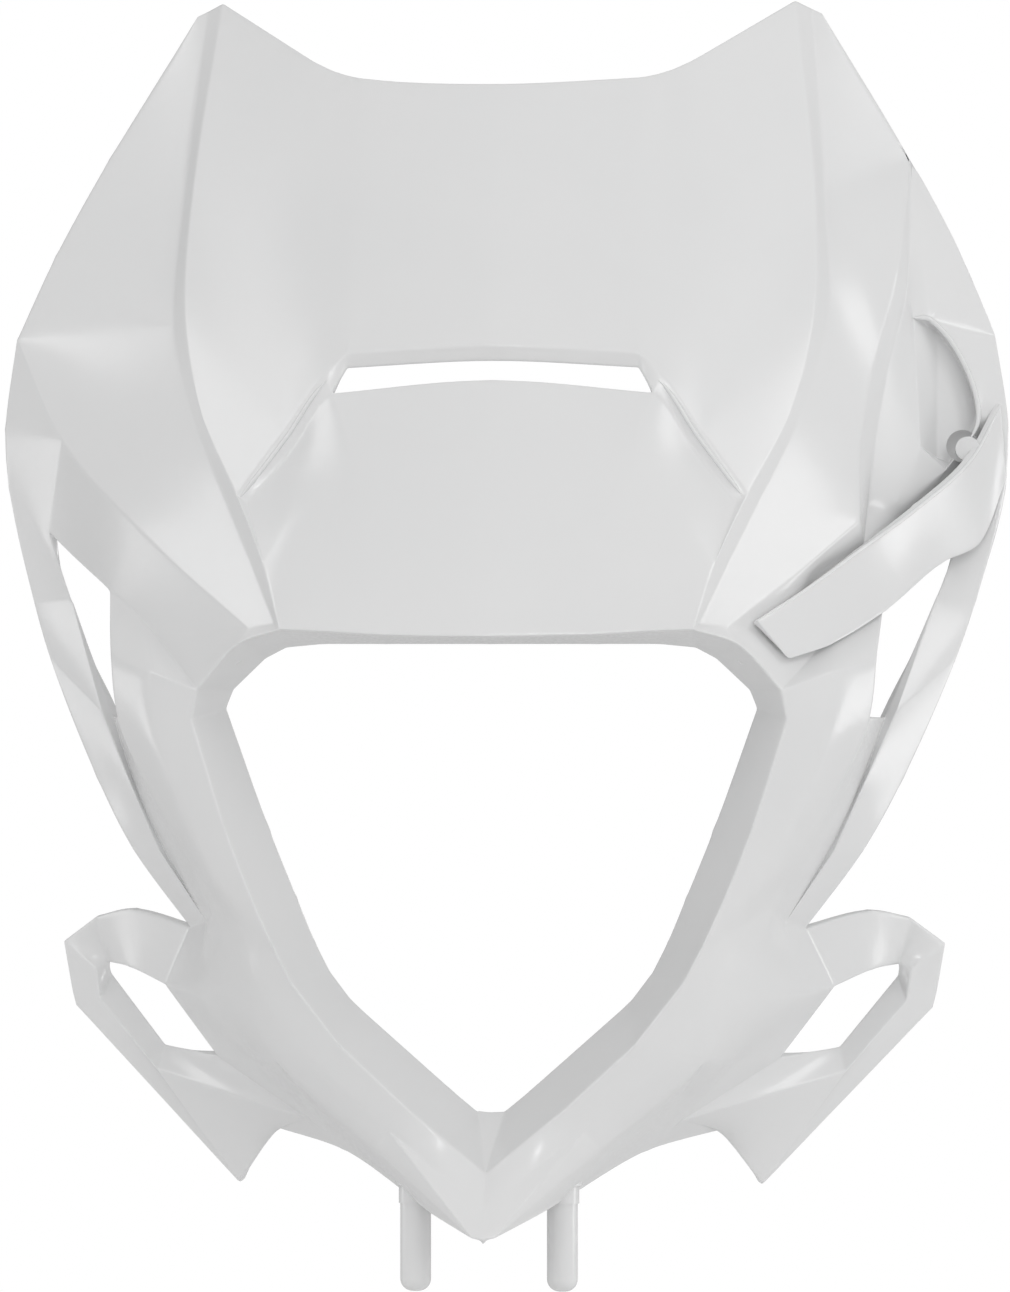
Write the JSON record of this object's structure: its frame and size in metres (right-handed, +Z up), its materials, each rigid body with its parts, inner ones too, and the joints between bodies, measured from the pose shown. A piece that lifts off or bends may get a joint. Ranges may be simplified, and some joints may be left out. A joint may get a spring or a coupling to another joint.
{
  "type": "motorcycle headlight mask",
  "caption": "Enduro headlight mask: leaning number plate with horns and vent slot over a V-shaped headlight frame, side struts, ears, lower locating pins and a clip-on brake hose guide.",
  "frame": {"origin": "midway between the two lower locating pins, on their axes, in the plane where their grommets start, 8 mm below the chin", "axes": "+X to the right as seen from the front (the bike's left), front faces -Y, +Z up"},
  "size_m": [0.2832, 0.1197, 0.3585],
  "materials": {
    "white_plastic": "glossy injection moulded"
  },
  "bodies": {
    "root": {"mask_shell": "white_plastic", "hose_guide": "white_plastic"}
  },
  "joints": []
}
